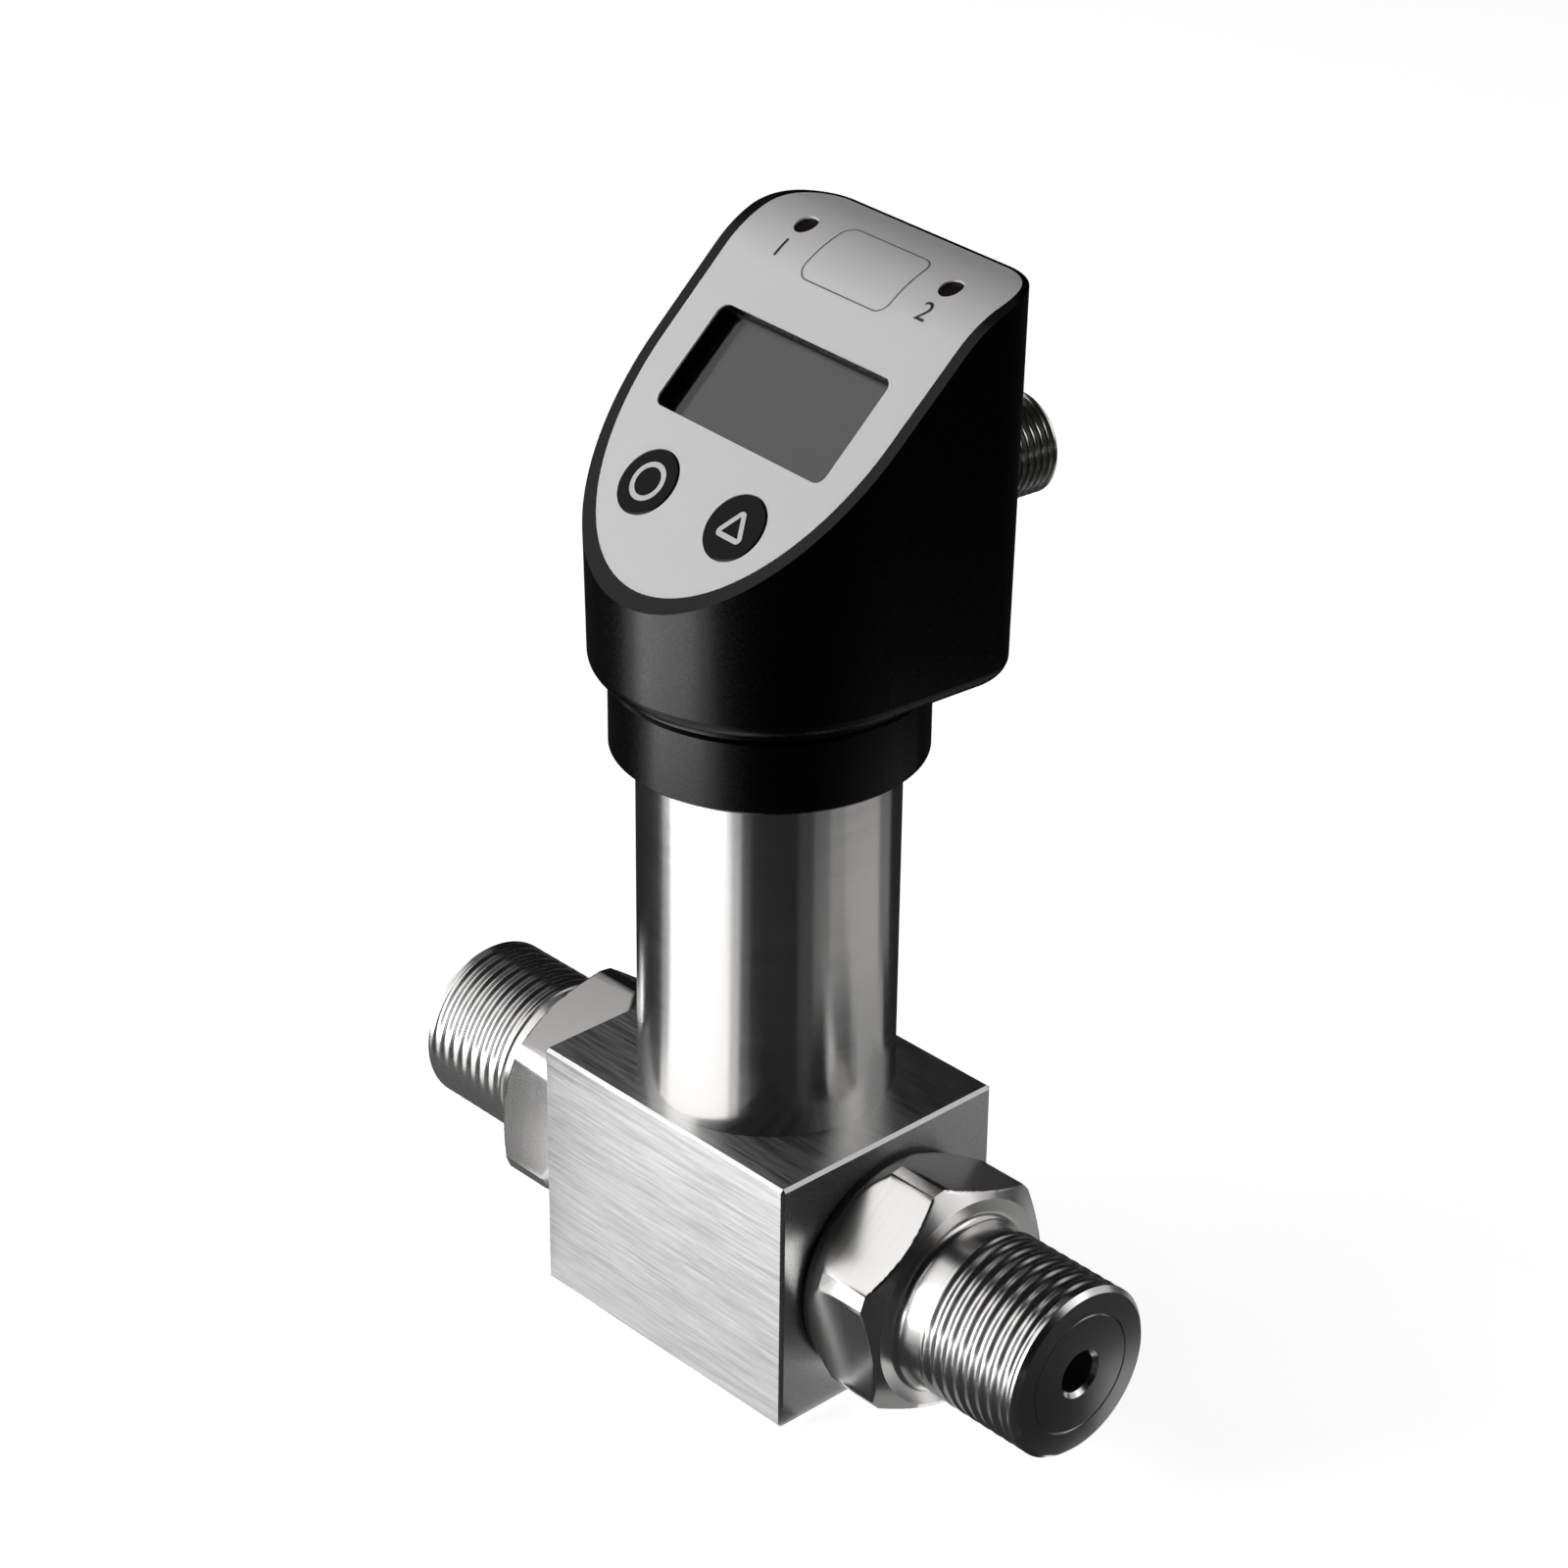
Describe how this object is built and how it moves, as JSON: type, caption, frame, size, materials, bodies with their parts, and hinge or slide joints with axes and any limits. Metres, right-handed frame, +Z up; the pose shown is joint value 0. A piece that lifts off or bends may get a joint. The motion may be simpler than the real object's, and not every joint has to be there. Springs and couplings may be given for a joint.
{
  "type": "differential pressure switch",
  "caption": "Differential pressure switch with a rotatable display head, press buttons, a rear round connector, a steel stem and a block with opposed threaded ports.",
  "frame": {"origin": "middle of the block's bottom face, on the axis of the stem", "axes": "+Z up the stem; +X out of the port nearest the viewer; -Y is the display side"},
  "size_m": [0.102, 0.0574, 0.1302],
  "materials": {
    "stainless": "brushed",
    "black_plastic": "fine grain",
    "silver_label": "silver satin",
    "window_plastic": "smoked clear",
    "lcd": "dark display",
    "button_plastic": "gloss",
    "pipe_plastic": "dark lens",
    "board": "solder mask",
    "seal_rubber": "smooth",
    "capsule_steel": "turned",
    "plated_brass": "nickel plated",
    "gold_contact": "gold plated",
    "spring_steel": "oiled",
    "grey_plastic": "moulded",
    "cable_sheath": "smooth",
    "led_body": "clear"
  },
  "bodies": {
    "base": {"manifold_block": "stainless", "port_fitting_high": "stainless", "port_fitting_low": "stainless", "fitting_seals": "seal_rubber", "differential_capsule": "capsule_steel", "capsule_diaphragms": "capsule_steel", "capsule_seals": "seal_rubber", "capsule_leads": "cable_sheath", "stem_tube": "stainless", "board_holder": "grey_plastic", "amplifier_board": "board", "signal_cable": "cable_sheath", "swivel_collar": "black_plastic", "swivel_seal": "seal_rubber", "swivel_ring": "spring_steel", "stop_pin": "spring_steel"},
    "head": {"head_housing": "black_plastic", "face_label": "silver_label", "face_panel": "black_plastic", "display_window": "window_plastic", "lcd_module": "lcd", "display_board": "board", "display_screws": "spring_steel", "tact_switch_left": "grey_plastic", "tact_switch_right": "grey_plastic", "light_pipe_left": "pipe_plastic", "light_pipe_right": "pipe_plastic", "status_leds": "led_body", "rear_board": "board", "main_board": "board", "cable_plug": "grey_plastic", "connector_shell": "plated_brass", "connector_insert": "black_plastic", "connector_pins": "gold_contact", "connector_seal": "seal_rubber", "connector_nut": "plated_brass"},
    "left_button": {"button_left": "button_plastic"},
    "right_button": {"button_right": "button_plastic"}
  },
  "joints": [
    {"name": "head_swivel", "type": "hinge", "parent": "base", "child": "head", "pos_m": [0, 0, 0.0841], "axis": [0, 0, 1], "range_deg": [-160, 168]},
    {"name": "button_left_press", "type": "slide", "parent": "head", "child": "left_button", "axis": [0.0519, 0.6902, -0.7218], "range_m": [0, 0.0005], "stiffness_N_per_m": 2400},
    {"name": "button_right_press", "type": "slide", "parent": "head", "child": "right_button", "axis": [0.0519, 0.6902, -0.7218], "range_m": [0, 0.0005], "stiffness_N_per_m": 2400}
  ]
}
